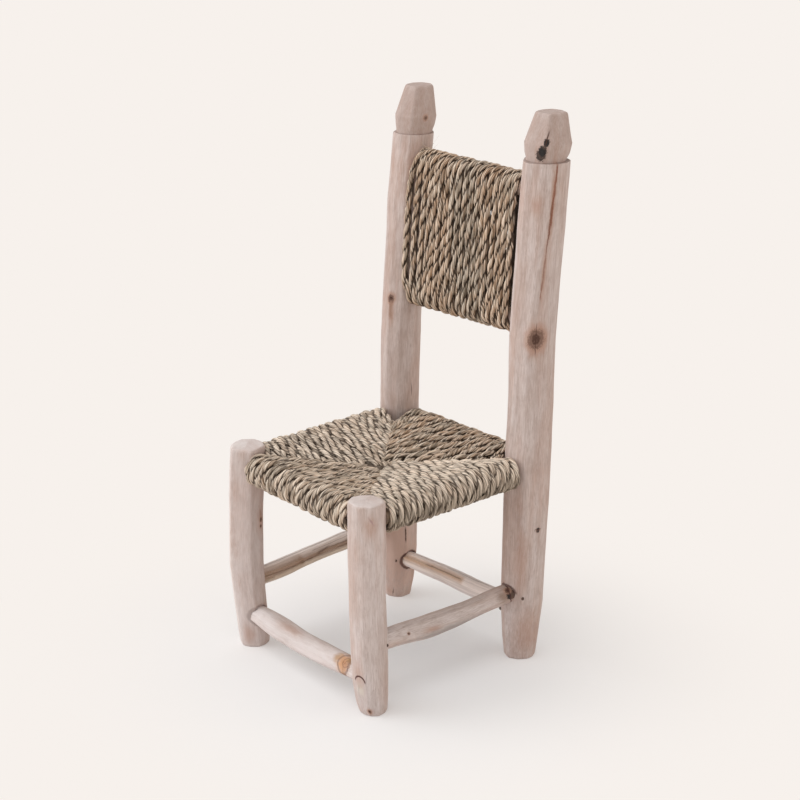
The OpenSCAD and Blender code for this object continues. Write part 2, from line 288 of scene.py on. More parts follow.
# The middle of the chair's frame, and the distances between its posts' axes
SHIFT = np.array([-1.4, -13.5])
SPAN = np.array([245.0, 246.0])
POSTS = {
    "post_front_left": branch(
        -0.5, -0.5, 276.0, 22.0, 5, (0, 0.2, 0.2, 0.83), (0.06, 0.1, 0.1, 0.92),
        (0.22, -0.36, -0.44, 0.95), (0.42, -0.84, -1.02, 1), (0.72, -0.68, -0.84, 1),
        (1, -0.2, -0.24, 1.01),
    ),
    "post_front_right": branch(
        0.5, -0.5, 276.0, 22.0, 5, (0, 0.5, 0.6, 0.74), (0.05, 0.24, 0.32, 0.86),
        (0.15, 0, 0, 0.95), (0.3, -0.16, -0.18, 0.99), (0.54, -0.38, -0.46, 1),
        (1, -0.48, -0.58, 1.01),
    ),
    "post_back_left": branch(
        -0.5, 0.5, 700.0, 26.0, 30, (0, 0, -0.04, 0.7), (0.04, 0, -0.03, 0.88),
        (0.1, 0, 0, 0.98), (0.4, 0, 0.04, 1), (0.58, 0, 0.16, 1), (0.8, 0, 0.53, 1),
        (0.945, 0, 0.89, 1), (1, 0.03, 1.065, 1),
    ),
    "post_back_right": branch(
        0.5, 0.5, 700.0, 28.5, 30, (0, 0, 0.03, 0.7), (0.04, 0, 0.03, 0.82),
        (0.11, 0, 0.09, 0.96), (0.3, 0, 0.2, 1), (0.5, 0, 0.27, 0.99), (0.61, 0, 0.29, 1),
        (0.92, 0.03, 0.75, 1), (1, 0.06, 0.93, 1),
    ),
}
# Height of the step under the carved knob of a back post
SHOULDERS = {"post_back_left": 640.5, "post_back_right": 643.0}


def post_axis(name, z):
    """Points of a post's axis at heights z, in millimetres."""
    (side, front), _, _, shape = POSTS[name]
    z = np.atleast_1d(np.asarray(z, float))
    x = SHIFT[0] + side * SPAN[0] + np.interp(z, shape[:, 0], shape[:, 1])
    y = SHIFT[1] + front * SPAN[1] + np.interp(z, shape[:, 0], shape[:, 2])
    return np.stack([x, y, z], 1)


def post_radius(name, z):
    """Radii of a post at heights z."""
    _, _, radius, shape = POSTS[name]
    return radius * np.interp(z, shape[:, 0], shape[:, 3])


def bar(first, z_first, second, z_second):
    """A bar between two posts: its two axis points and the posts' radii there."""
    a, b = post_axis(first, z_first)[0], post_axis(second, z_second)[0]
    return a, b, float(post_radius(first, z_first)), float(post_radius(second, z_second))


# Each rung is [bar, radii, falls below the straight line, sway to one side at its middle]. The
# radii and falls are those at the shares of its length in ALONG.
ALONG = (0, 0.1, 0.2, 0.35, 0.5, 0.65, 0.8, 0.9, 1)
RUNGS = {
    "rung_front": (
        bar("post_front_left", 45, "post_front_right", 44.5),
        (12, 13.7, 15.1, 14.8, 14.3, 14, 13.4, 12.6, 12.1),
        (0, 1.3, 3.1, 6.0, 5.8, 4.5, 2.4, 0.4, 0),
        2,
    ),
    "rung_right": (
        bar("post_front_right", 88, "post_back_right", 91.5),
        (11.8, 12.2, 12.7, 14.4, 13.9, 12.6, 12.2, 12, 11.6),
        (0, 0.3, 2.2, 5.6, 4.8, 4.2, 1.6, 0.5, 0),
        2,
    ),
    "rung_back": (
        bar("post_back_right", 63, "post_back_left", 57),
        (10.6, 11.1, 11.8, 11.9, 11.8, 11.9, 11.8, 11.1, 10.6),
        (0, -0.5, -1.1, -1.8, -2, -1.8, -1.1, -0.5, 0),
        2,
    ),
    "rung_left": (
        bar("post_back_left", 109.5, "post_front_left", 86.5),
        (11, 11.4, 11.6, 11.8, 10.9, 11.1, 11.8, 11.7, 11),
        (0, 0.5, 1, 0.8, 0.7, 1.4, 2, 1, 0),
        -2,
    ),
}
SEAT_RAILS = {
    "seat_weave_front": bar("post_front_left", 249, "post_front_right", 249),
    "seat_weave_right": bar("post_front_right", 249, "post_back_right", 257),
    "seat_weave_back": bar("post_back_right", 257, "post_back_left", 257),
    "seat_weave_left": bar("post_back_left", 257, "post_front_left", 249),
}
UPPER_RAIL = bar("post_back_left", 605, "post_back_right", 605)
LOWER_RAIL = bar("post_back_left", 437.5, "post_back_right", 444.5)
RAIL_RADIUS = 11.0
FRONT_RAIL, BACK_RAIL = SEAT_RAILS["seat_weave_front"], SEAT_RAILS["seat_weave_back"]
SEAT_CENTRE = (FRONT_RAIL[0] + FRONT_RAIL[1] + BACK_RAIL[0] + BACK_RAIL[1]) / 4


def unit(v):
    """Vectors brought to a length of 1."""
    v = np.asarray(v, float)
    return v / np.linalg.norm(v, axis=-1, keepdims=True)


def smooth(t):
    """A soft step from 0 to 1 as t runs from 0 to 1."""
    t = np.clip(t, 0, 1)
    return t * t * (3 - 2 * t)


def round_angles(count):
    """Directions round a tube, as a row."""
    return np.linspace(0, 2 * math.pi, count, endpoint=False)[None, :]


def waves(t, rng, count, longest):
    """A gentle random curve through t, about -1 to 1, with waves no longer than given."""
    out = np.zeros_like(t, float)
    for k in range(1, count + 1):
        out += np.sin(2 * math.pi * (t * k / longest * rng.uniform(0.7, 1.3) + rng.uniform())) / k
    return out / sum(1 / k for k in range(1, count + 1))


# ---------------------------------------------------------------- meshes


class Skin:
    """Gathers the tubes of one piece, with straightened coordinates for its material."""

    def __init__(self):
        self.points, self.own, self.quads, self.caps = [], [], [], []
        self.extra = {}
        self.count = 0

    def tube(self, points, own, **extra):
        """Adds rings of points as a tube with closed ends."""
        rings, sides = points.shape[:2]
        i = np.arange(rings - 1)[:, None] * sides
        k = np.arange(sides)[None, :]
        n = (k + 1) % sides
        quads = np.stack([i + k, i + n, i + sides + n, i + sides + k], -1).reshape(-1, 4)
        self.quads.append(quads + self.count)
        self.caps.append(np.arange(sides)[::-1] + self.count)
        self.caps.append(np.arange(sides) + (rings - 1) * sides + self.count)
        self.points.append(points.reshape(-1, 3))
        self.own.append(own.reshape(-1, 3))
        for key, values in extra.items():
            spread = np.broadcast_to(values, (rings, sides)).reshape(-1)
            self.extra.setdefault(key, []).append(spread)
        self.count += rings * sides

    def piece(self, name):
        """Makes the mesh object, in metres."""
        quads = np.vstack(self.quads)
        loops = np.concatenate([quads.ravel(), *self.caps]).astype(np.int32)
        sizes = np.array([4] * len(quads) + [len(c) for c in self.caps])
        starts = np.concatenate([[0], np.cumsum(sizes)[:-1]]).astype(np.int32)
        mesh = bpy.data.meshes.new(name)
        mesh.vertices.add(self.count)
        mesh.vertices.foreach_set("co", (np.vstack(self.points) * MM).astype(np.float32).ravel())
        mesh.loops.add(len(loops))
        mesh.loops.foreach_set("vertex_index", loops)
        mesh.polygons.add(len(sizes))
        mesh.polygons.foreach_set("loop_start", starts)
        mesh.update(calc_edges=True)
        keep(mesh, "own", "FLOAT_VECTOR", np.vstack(self.own) * MM)
        for key, values in self.extra.items():
            keep(mesh, key, "FLOAT", np.concatenate(values))
        return link_object(name, mesh)


def link_object(name, data):
    """Makes an object of its data in the scene."""
    made = bpy.data.objects.new(name, data)
    bpy.context.scene.collection.objects.link(made)
    return made


def keep(mesh, name, kind, values):
    """Stores values on the mesh's points for its material to read."""
    if name in mesh.attributes:
        mesh.attributes.remove(mesh.attributes[name])
    made = mesh.attributes.new(name, kind, "POINT")
    key = "vector" if kind == "FLOAT_VECTOR" else "value"
    made.data.foreach_set(key, np.asarray(values, np.float32).ravel())


def dress(piece, material, slot, *nodes):
    """Gives a piece its material and its place in the frame."""
    piece.data.materials.clear()
    piece.data.materials.append(material)
    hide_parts(*nodes)
    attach(piece, "root")


# The angle in degrees over which an edge of each stuff stays sharp
SHARP_WOOD = 32
SHARP_ROPE = 80


def shade(piece, degrees):
    """Smooth shading, with the edges over an angle kept sharp."""
    piece.data.shade_smooth()
    piece.data.set_sharp_from_angle(angle=math.radians(degrees))


def facet_radii(angle, cuts, sharpness):
    """The radius of a many-sided section at each angle, from its flats' directions and depths."""
    total = 0
    for direction, distance in cuts:
        toward = np.clip(np.cos(angle - direction), 0.02, None)
        total = total + (toward / distance) ** sharpness
    return total ** (-1 / sharpness)


def knife_cuts(rng, z, radius, count, depth):
    """Flats round a branch, which drift and turn a little along it."""
    cuts = []
    for k in range(count):
        direction = 2 * math.pi * (k + rng.uniform(-0.3, 0.3)) / count
        direction = direction + 0.1 * waves(z, rng, 2, 600)
        share = 0.984 + depth * (waves(z, rng, 3, rng.uniform(180, 420)) - 0.3 * rng.uniform())
        cuts.append((direction[:, None], (radius * share)[:, None]))
    return cuts


def turned(direction, angle):
    """How far round from a direction each angle is, from -pi to pi."""
    return (angle - direction + math.pi) % (2 * math.pi) - math.pi


# ---------------------------------------------------------------- posts

# The marks of each piece, in millimetres up a post or along a rung and radians round it:
#   knots [height, direction, size, bulge, darkness], sooty where the darkness is 2
#   cracks [[height, direction] at both ends, width, darkness]
#   splits [the same ends, width, colour of the wood under them]
#   scars and the painted shade round the joints, as arches or rings [height, direction, width,
#   reach up, height over their middle from which they show, darkness]
#   stains, among them a painted highlight and a painted shade [height, direction, width, reach up,
#   and a colour where it isn't the heart's]
# tint is how reddish the wood is, and white how much more wash it has.
FINISH = {
    "post_front_left": {
        "knots": [
            (176.5, 0.46, 2.6, 0.5, 1.2), (167.5, 0.44, 1.8, 0.2, 1.2), (96, 2.6, 4.0, 1.0, 1)
        ],
        "cracks": [((40, -2.0), (96, -1.85), 0.6, 0.4)],
        "splits": [((190, 0.44), (180, 0.45), 4, "A98472")],
        # This ring round the front rung's mortise is painted shade at the joint.
        "scars_and_joint_shade": [(45, 0, 14.2, 13.6, -99, 0.35)],
        # The last stain, a pale band down the side that faces the side lamp, is a painted
        # highlight.
        "stains_and_painted_light": [(174, 0.49, 9, 26), (20, -0.9, 9, 16), (140, -2.35, 17, 190, "EBE1DC")],
        "tint": 0.32,
        "white": 0.34,
    },
    "post_front_right": {
        "knots": [(7.5, -0.88, 2.2, 0, 1.1), (190, 2.2, 4.5, 1.1, 1)],
        "cracks": [((30, -1.5), (41, -1.42), 1.0, 0.35), ((44, -0.9), (60, -0.86), 0.8, 0.3)],
        "splits": [((262, -0.55), (254, -0.35), 2, "A98A86")],
        "scars_and_joint_shade": [(46, -1.34, 7.6, 8.5, 1, 1.0)],
        "stains_and_painted_light": [
            (60, -1.4, 8, 22), (250, -0.5, 10, 16), (7, -0.88, 5, 6), (37, -1.34, 6, 10, "D3C6B8")
        ],
        "tint": 0.08,
        "white": 0.12,
    },
    "post_back_left": {
        "knots": [
            (427.8, -1.3, 4.6, 0.6, 1.1), (661.7, -0.2, 2.7, 0.3, 0.75), (250, 2.3, 5.0, 1.4, 1)
        ],
        "cracks": [
            ((310.8, -0.07), (295.4, -0.05), 1.3, 0.8), ((106, -0.32), (86, -0.31), 1.5, 1.0),
            ((13, -1.0), (5, -1.05), 1.3, 0.8),
        ],
        "splits": [((425, -1.3), (402, -1.28), 3.6, "A47C66")],
        # This ring round the back rung's mortise is painted shade at the joint.
        "scars_and_joint_shade": [(57, 0, 12.6, 12.6, -99, 0.85)],
        "stains_and_painted_light": [
            (412, -1.27, 5, 24), (9.5, -1.4, 6, 6), (600, -0.6, 8, 40), (75, -0.8, 30, 90, "D5B3A2")
        ],
        "tint": 0.28,
    },
    "post_back_right": {
        "knots": [
            (431.4, -0.61, 10.5, 0.8, 1), (653.5, -1.04, 6.4, 0.3, 2), (658.0, -0.99, 5.4, 0.1, 2),
            (668.0, -0.84, 3.8, 0.1, 2), (181.8, -0.16, 2.8, 0.2, 2), (330, 2.1, 6.0, 1.4, 1),
        ],
        "cracks": [
            ((600, -0.36), (540, -0.46), 0.8, 0.5), ((680, -0.78), (664, -0.90), 1.5, 1.0),
            ((450, -0.62), (412, -0.62), 1.2, 0.6), ((290, 1.5), (410, 1.62), 1.2, 0.5),
        ],
        "splits": [
            ((643, -0.25), (568, -0.37), 2.1, "80492F"),
            ((628, -0.33), (560, -0.43), 1.2, "9C6850"),
            ((575, -0.40), (481, -0.56), 1.7, "8A563E"),
        ],
        "scars_and_joint_shade": [
            (181, -0.24, 2.2, 2.4, 0.2, 1.0), (181.6, -0.08, 2.2, 1.8, 0.2, 1.0),
            # The arch over the right rung's mortise is painted shade at the joint.
            (91.5, -1.57, 13, 12.8, 3, 0.8),
        ],
        "stains_and_painted_light": [
            (431, -0.61, 13, 26), (604, -0.34, 4.0, 60), (520, -0.49, 3.2, 55),
            (592.5, -1.01, 8, 14), (40, -0.5, 16, 40), (130, -0.9, 9, 50),
        ],
        "tint": 0.2,
    },
    "rung_front": {
        "cracks": [((213, -0.75), (219, 0.1), 1.6, 0.7), ((196, -0.5), (200, 0.1), 1.2, 0.6)],
        "scars_and_joint_shade": [
            (207, -0.62, 12.5, 10.5, -99, 0.45), (210, -0.8, 6, 5.5, -99, 0.4),
            (212, -0.3, 9, 4.5, -99, 0.3),
        ],
        "stains_and_painted_light": [
            (90, -1.2, 8, 30), (193, -0.95, 9, 9, "B58E6B"), (206, -0.6, 17, 13, "D3A37B"),
            (207, -0.6, 12, 10, "D0996A"), (212, -1.15, 5, 6, "C39A5E"),
        ],
        "tint": -0.1,
        "white": 0.6,
    },
    "rung_right": {
        "knots": [(52, -0.35, 1.6, 0, 1), (222, -0.25, 6.4, 0, 2), (219, -0.9, 3.6, 0, 1.2)],
        # This ring near the rung's end, where it enters its post, is painted shade at the joint.
        "scars_and_joint_shade": [(226, -0.4, 12, 6, -99, 0.8)],
        "stains_and_painted_light": [
            # The grey stain at 120 mm, on the rung's lower outer side, is painted shade.
            (90, -0.2, 5, 16), (120, 0.5, 8, 60, "9E948F"), (212, -0.3, 10, 14, "8F7565")
        ],
        "tint": -0.05,
    },
    "rung_back": {
        "cracks": [((105, -2.3), (175, -2.4), 1.4, 0.5), ((60, -1.6), (222, -1.7), 1.2, 0.5)],
        "splits": [
            ((8, -2.4), (225, -2.5), 24, "FBE9DE"), ((100, -2.35), (224, -2.6), 9, "CFA98A")
        ],
        "tint": -0.2,
        "white": 0.9,
    },
    "rung_left": {
        "cracks": [
            ((40, -1.35), (225, -1.45), 1.2, 0.5), ((125, -2.5), (145, -2.75), 2.4, 0.6),
            ((30, -2.1), (150, -2.2), 0.8, 0.4), ((30, -2.75), (125, -2.6), 1.0, 0.5),
            ((150, -3.0), (228, -3.1), 0.8, 0.35),
        ],
        "splits": [
            ((30, -2.1), (235, -2.0), 18, "F3E4DA"), ((30, -3.5), (235, -3.5), 12, "EAD8C2"),
            ((168, -2.68), (235, -2.78), 13, "AC8C74"), ((30, -2.95), (175, -2.78), 8, "A3836A"),
        ],
        "tint": -0.05,
        "white": 0.4,
    },
}
POST_SIDES = 128
RUNG_SIDES = 96
RUNG_RINGS = 170
# A rung's ends lie this far inside its posts' axes, and its mortises are this much wider.
RUNG_INSET = 11.0
MORTISE_PLAY = 0.9
# The height at which the knob's profile is drawn, and how much slimmer the right knob is
KNOB_HEIGHT = 57.0
KNOB_SLIMMER = {"post_back_right": 1.5}


def knob(radius, tall):
    """Heights above the shoulder of a back post's knob, and its radii."""
    z = [0.25, 1.2, 2.4, 4, 6, 8.5, 11, 13.5, 16, 18, 19.5, 20.6, 21.6, 23, 25]
    z = np.concatenate([z, np.arange(27, 53, 2.2), [53.5, 54.6, 55.5, 56.2, 56.7, KNOB_HEIGHT]])
    shares = np.array([0.07, 0.18, 0.26, 0.305, 0.335, 0.4]) * radius
    inset = np.interp(
        z,
        [0, 4, 19, 20.5, 22, 28.5, 41, 50, 54.5, 56, KNOB_HEIGHT],
        [2.9, 2.5, 0.2, 0, 0.35, *shares],
    )
    return z * tall / KNOB_HEIGHT, radius - inset


def build_post(name, seed, look):
    """A whittled branch post, with its knots, eased ends and, at the back, a carved knob."""
    rng = np.random.default_rng(seed)
    _, height, radius, _ = POSTS[name]
    tall = name in SHOULDERS
    shoulder = SHOULDERS.get(name, height)
    step = look.ring_step / MM
    angle = round_angles(POST_SIDES)
    z = np.concatenate([[0, 0.5, 1.3, 2.6], np.arange(2.6 + step, shoulder - 5, step)])
    z = np.concatenate([z, shoulder - np.array([4.5, 3.0, 1.8, 0.9, 0.3, 0.0])])
    size = post_radius(name, z)
    r = facet_radii(angle, knife_cuts(rng, z, size, look.facets, look.facet_depth), 40)
    r += 0.3 * waves(z, rng, 5, 130)[:, None]
    r[:4] -= np.array([1.5, 0.8, 0.3, 0.1])[:, None]
    eased = [0, 0, 0, 0.1, 0.3, 0.7] if tall else [0.15, 0.45, 0.9, 1.5, 2.4, 3.6]
    r[-6:] -= np.array(eased)[:, None]
    if tall:
        above, wide = knob(radius, height - shoulder)
        wide -= KNOB_SLIMMER.get(name, 0)
        cuts = []
        for k in range(8):
            direction = 2 * math.pi * (k + rng.uniform(-0.2, 0.2)) / 8 + 0.3
            depth = 0.985 + rng.uniform(-0.02, 0.012) * smooth((above - 14) / 12)
            turn = 0.05 * waves(above, rng, 2, 70)
            cuts.append(((direction + turn)[:, None], (wide * depth)[:, None]))
        carved = facet_radii(angle, cuts, 30)
        blend = smooth((above - 1) / 8)[:, None]
        r = np.vstack([r, carved * blend + wide[:, None] * (1 - blend)])
        z = np.concatenate([z, shoulder + above])
    for mark_z, mark_angle, mark_size, bulge, _ in FINISH[name]["knots"]:
        away = turned(mark_angle, angle) * r
        far = (z[:, None] - mark_z) ** 2
        r = r + bulge * np.exp(-(far / 1.6 + away**2) / (2 * (mark_size * 1.5) ** 2))
        r = r - bulge * 1.1 * np.exp(-(far + away**2) / (2 * (mark_size * 0.35) ** 2))
    foot, top = np.array([0.12, 0.4, 0.68, 0.88]), np.array([0.86, 0.66, 0.42, 0.16])
    r = np.vstack([r[:1] * foot[:, None], r, r[-1:] * top[:, None]])
    z = np.concatenate([[0] * 4, z, [height] * 4])
    level = np.repeat(z[:, None], POST_SIDES, 1)
    if tall:
        level[-4:] += (0.3 * (1 - top))[:, None] - 0.3
    else:
        tilt = rng.uniform(0, 2 * math.pi)
        drop = 0.9 * (r * np.cos(angle - tilt) / radius - 1)
        level += drop * smooth((z - height + 12) / 12)[:, None]
        level[-4:] += rng.normal(0, 0.07, (4, POST_SIDES))
    axis = post_axis(name, z)
    x, y = r * np.cos(angle), r * np.sin(angle)
    points = np.stack([axis[:, :1] + x, axis[:, 1:2] + y, level], -1)
    skin = Skin()
    skin.tube(points, np.stack([x, y, level], -1))
    piece = skin.piece(name + "_whittled")
    drill(piece, mortises(name))
    spots = np.empty(len(piece.data.vertices) * 3)
    piece.data.vertices.foreach_get("co", spots)
    spots = spots.reshape(-1, 3)
    spots[:, :2] -= post_axis(name, spots[:, 2] / MM)[:, :2] * MM
    keep(piece.data, "own", "FLOAT_VECTOR", spots)
    shade(piece, SHARP_WOOD)
    return piece


def mortises(post):
    """The holes of a post: the axis points of each bar that enters it and the hole's radius."""
    holes = []
    for (a, b, *_), radii, _, _ in RUNGS.values():
        for end, other, radius in ((a, b, radii[0]), (b, a, radii[-1])):
            if np.hypot(*(end - post_axis(post, end[2])[0])[:2]) < 2:
                holes.append((end, other, radius + MORTISE_PLAY))
    return holes


def drill(piece, holes):
    """Bores a post where the rungs go in, a little wider than they are."""
    cutters = []
    for index, (start, end, radius) in enumerate(holes):
        direction = unit(end - start)
        across = unit(np.cross((0, 0, 1), direction))
        up = np.cross(direction, across)
        angle = round_angles(48).T
        wobble = 1 + 0.03 * np.sin(3 * angle + index) + 0.015 * np.sin(7 * angle)
        ring = (across * np.cos(angle) + up * np.sin(angle)) * radius * wobble + up * 0.4
        far = start + direction * 60
        points = np.stack([start + direction * 10 + ring * 0.96, far + ring])
        skin = Skin()
        skin.tube(points, points)
        cutter = skin.piece("cutter")
        modifier = piece.modifiers.new("mortise", "BOOLEAN")
        modifier.object = cutter
        modifier.operation = "DIFFERENCE"
        modifier.solver = "EXACT"
        cutters.append(cutter)
    graph = bpy.context.evaluated_depsgraph_get()
    bored = bpy.data.meshes.new_from_object(piece.evaluated_get(graph), depsgraph=graph)
    piece.modifiers.clear()
    old = piece.data
    piece.data = bored
    bpy.data.meshes.remove(old)
    for cutter in cutters:
        mesh = cutter.data
        bpy.data.objects.remove(cutter)
        bpy.data.meshes.remove(mesh)


# ---------------------------------------------------------------- rungs


def line_frames(path):
    """Tangents and two cross directions along a path, without twist."""
    tangent = unit(np.gradient(path, axis=0))
    first = np.cross(tangent[0], (0.0, 0.0, 1.0))
    if np.linalg.norm(first) < 0.2:
        first = np.cross(tangent[0], (0.0, 1.0, 0.0))
    side = [unit(first)]
    for t in tangent[1:]:
        s = side[-1] - t * (side[-1] @ t)
        side.append(s / np.linalg.norm(s))
    side = np.array(side)
    return tangent, side, np.cross(tangent, side)


def sweep(line, radii, angle, along):
    """A tube along a line: its points and straightened coordinates."""
    _, side, top = line_frames(line)
    x, y = radii * np.cos(angle), radii * np.sin(angle)
    points = line[:, None] + side[:, None] * x[..., None] + top[:, None] * y[..., None]
    own = np.stack([x, y, np.broadcast_to(along[:, None], x.shape)], -1)
    return points, own


# Grooves are [share of the length, direction] at their two ends, their width and depth.
GROOVES = {
    "rung_left": [
        ((0.0, -2.75), (0.52, -3.1), 3.6, 1.6),
        ((0.5, -3.1), (1.0, -2.85), 5.0, 1.8),
        ((0.14, -2.35), (0.42, -2.7), 2.0, 1.1),
    ],
    "rung_back": [((0.42, -2.45), (1.0, -2.6), 4.0, 0.5)],
    "rung_front": [((0.84, -0.9), (0.96, -0.55), 5.0, 1.5)],
}


def drawn_through(share, values):
    """Values given at the places in ALONG, drawn through as a smooth line."""
    near = [np.interp(share + d, ALONG, values) for d in np.linspace(-0.06, 0.06, 9)]
    return np.mean(near, 0)


def build_rung(name, seed, look):
    """A crooked, whittled rung, which runs into its mortises at both ends."""
    rng = np.random.default_rng(seed)
    (a, b, ra, rb), radii, falls, sway = RUNGS[name]
    length = np.linalg.norm(b - a)
    s = np.linspace(RUNG_INSET, length - RUNG_INSET, RUNG_RINGS)
    share = (s - s[0]) / (s[-1] - s[0])
    direction = unit(b - a)
    across = unit(np.cross((0, 0, 1), direction))
    up = np.cross(direction, across)
    hump = np.sin(math.pi * share)
    fall = drawn_through(share, falls) + 0.6 * waves(s, rng, 3, 230) * hump
    sway = sway * hump**1.2 + 1.3 * waves(s, rng, 3, 210) * hump
    line = a + direction * s[:, None] - up * fall[:, None] + across * sway[:, None]
    first, last = smooth((s - ra + 2) / 26), smooth((length - rb - s + 2) / 26)
    size = drawn_through(share, radii) + 0.3 * waves(s, rng, 5, 90) * first * last
    size *= np.where((share < 0.01) | (share > 0.99), 0.8, 1)
    angle = round_angles(RUNG_SIDES)
    r = facet_radii(angle, knife_cuts(rng, s, size, 8, look.facet_depth * 1.8), 22)
    for (start, turn_a), (end, turn_b), width, deep in GROOVES.get(name, ()):
        here = (share - start) / (end - start)
        wander = 0.06 * waves(share, rng, 4, 0.4)
        off = turned((turn_a + (turn_b - turn_a) * here + wander)[:, None], angle) * r
        opens, closes = smooth(here * 5), smooth((1 - here) * 5)
        fade = np.where(share > 0.9, opens, np.where(share < 0.1, closes, opens * closes))
        r = r - deep * fade[:, None] * smooth(off / 0.8 + 0.5) * smooth((width - off) / width)
    skin = Skin()
    skin.tube(*sweep(line, r, angle, s))
    piece = skin.piece(name + "_whittled")
    shade(piece, SHARP_WOOD)
    return piece


# ---------------------------------------------------------------- rope

# A ply's distance from the rope's middle and its radius, as shares of the rope's thickness
PLY_OFFSET = 0.212
PLY_RADIUS = 0.288


def even_path(points, step, rounds):
    """A path with its points an even step apart, rounded off where it turns."""
    points = np.asarray(points, float)
    gaps = np.linalg.norm(np.diff(points, axis=0), axis=1)
    far = np.concatenate([[0], np.cumsum(gaps)])
    count = max(int(round(far[-1] / step)), 4)
    even = np.linspace(0, far[-1], count + 1)
    path = np.stack([np.interp(even, far, points[:, k]) for k in range(3)], 1)
    for _ in range(rounds):
        path[1:-1] = (path[:-2] + 2 * path[1:-1] + path[2:]) / 4
    return path, even


def lay_rope(skin, points, thickness, look, rng, core, step=1.6, lobe=4, hue=None):
    """Two plies laid round a path, each a twisted bundle of leaf blades.

    core is a flat strip inside the rope work: [a place on its edge, the way across it, how far
    it reaches, the way along it]. The side of a strand that faces it gets painted shade. step is
    the distance between the mesh's rings, lobe the number of its points to a blade, and hue the
    tone along x, which is random without it.
    """
    line, far = even_path(points, step, 2)
    _, side, top = line_frames(line)
    lay = look.lay / MM
    slack = far * (1 + 0.08 * rng.normal()) + lay * 0.4 * waves(far, rng, 4, 320)
    turn = rng.uniform(0, 2 * math.pi) + 2 * math.pi * slack / lay
    end = smooth(np.minimum(far, far[-1] - far) / 4) * 0.7 + 0.3
    start, across, reach, along_core = core
    off = line - start
    off = off - np.clip(off @ across, 0, reach)[:, None] * across
    outward = unit(off - (off @ along_core)[:, None] * along_core + 1e-6)
    tone = rng.uniform(0.2, 0.8) if hue is None else np.interp(line[:, 0], *hue)
    tone = np.clip(tone + 0.4 * waves(far, rng, 2, 500), 0, 1)
    leaf = round_angles(look.blades * lobe)
    ridge = np.abs(np.sin(leaf * look.blades / 2)) ** 0.7
    for ply in (0, 1):
        ahead = turn + math.pi * ply
        fat = 1 + 0.17 * waves(far, rng, 5, 45)
        out = side * np.cos(ahead)[:, None] + top * np.sin(ahead)[:, None]
        centre = line + out * (thickness * PLY_OFFSET * (2 - fat))[:, None]
        tangent = unit(np.gradient(centre, axis=0))
        normal = unit(out - tangent * np.sum(out * tangent, 1)[:, None])
        binormal = np.cross(tangent, normal)
        r = (thickness * PLY_RADIUS * fat * end)[:, None]
        twist = 2 * math.pi * far / (lay * 0.5) + 0.6 * waves(far, rng, 3, 80)
        angle = leaf - twist[:, None] + rng.uniform(0, 6)
        drift = np.sin(leaf * 2 + far[:, None] / 6 + rng.uniform(0, 6))
        lift = np.sin(leaf * 3 - far[:, None] / 4.3 + rng.uniform(0, 6))
        flute = 0.82 + 0.22 * ridge + 0.05 * drift + 0.04 * lift
        x, y = np.cos(angle) * r * flute * 0.95, np.sin(angle) * r * flute * 1.08
        spots = centre[:, None] + normal[:, None] * x[..., None] + binormal[:, None] * y[..., None]
        # Depth is low in the creases between the plies and blades and on the side that faces the
        # core; the material paints shade there
        away = np.linalg.norm(spots - line[:, None], axis=2) / (thickness / 2)
        facing = np.sum((spots - line[:, None]) * outward[:, None], 2) / (thickness / 2)
        away = away * (0.5 + 0.5 * smooth((facing + 0.75) / 1.1))
        along = np.broadcast_to(far[:, None] + rng.uniform(0, 900), x.shape)
        shift = rng.uniform(0, 60, 2)
        own = np.stack([r * np.cos(leaf) + shift[0], r * np.sin(leaf) + shift[1], along], -1)
        depth = np.clip(away, 0, 1.2) * (0.68 + 0.32 * ridge)
        skin.tube(spots, own, tone=tone[:, None], depth=depth)


def whisker(skin, start, direction, length, rng):
    """A loose fibre that curls off the rope."""
    t = np.linspace(0, 1, 6)[:, None]
    bend = unit(rng.normal(0, 1, 3)) * length * 0.55
    line = start + direction * length * t + bend * t**2
    along = t[:, 0] * length + rng.uniform(0, 500)
    points, own = sweep(line, 0.2 * (1 - 0.8 * t), round_angles(3), along)
    skin.tube(points, own, tone=rng.uniform(), depth=1.1)


def frizz(skin, count, rng, outward, longest):
    """Loose fibres at random places of the rope that is already in the skin."""
    spots = np.vstack(skin.points)
    for index in rng.integers(0, len(spots), count):
        start = spots[index]
        away = unit(outward(start) + rng.normal(0, 0.5, 3))
        whisker(skin, start - away * 0.6, away, rng.uniform(3, longest), rng)


# ---------------------------------------------------------------- seat

# How far from a rail's axis its strands turn, how far the seat's top dips to its middle and how
# far its underside rises there
SEAT_TURN = 16.8
SEAT_DIP = 16.0
SEAT_LIFT = 6.6
# The neighbours' strands that cross under each quarter: their number, spacing and depth
UNDER_STRANDS = 7
UNDER_STEP = 10.5
UNDER_DROP = 10.5
# The loose fibres of a quarter, of the back, and of the tuft at the back's upper left corner
SEAT_FIBRES = 110
BACK_FIBRES = 150
TUFT_FIBRES = 26
# Where the seams between the quarters start, from above, and where they meet
SEAMS = {
    "front_left": np.array([-94.0, -128.0]),
    "front_right": np.array([84.0, -112.0]),
    "back_right": np.array([112.0, 62.0]),
    "back_left": np.array([-81.0, 68.0]),
}
SEAM_CENTRE = np.array([-2.0, -11.0])
# Each quarter runs from one seam to the next. It goes under its neighbour at the first and over
# the other at the last.
SEAT_QUARTERS = {
    "seat_weave_front": ("front_left", "front_right"),
    "seat_weave_right": ("front_right", "back_right"),
    "seat_weave_back": ("back_right", "back_left"),
    "seat_weave_left": ("back_left", "front_left"),
}


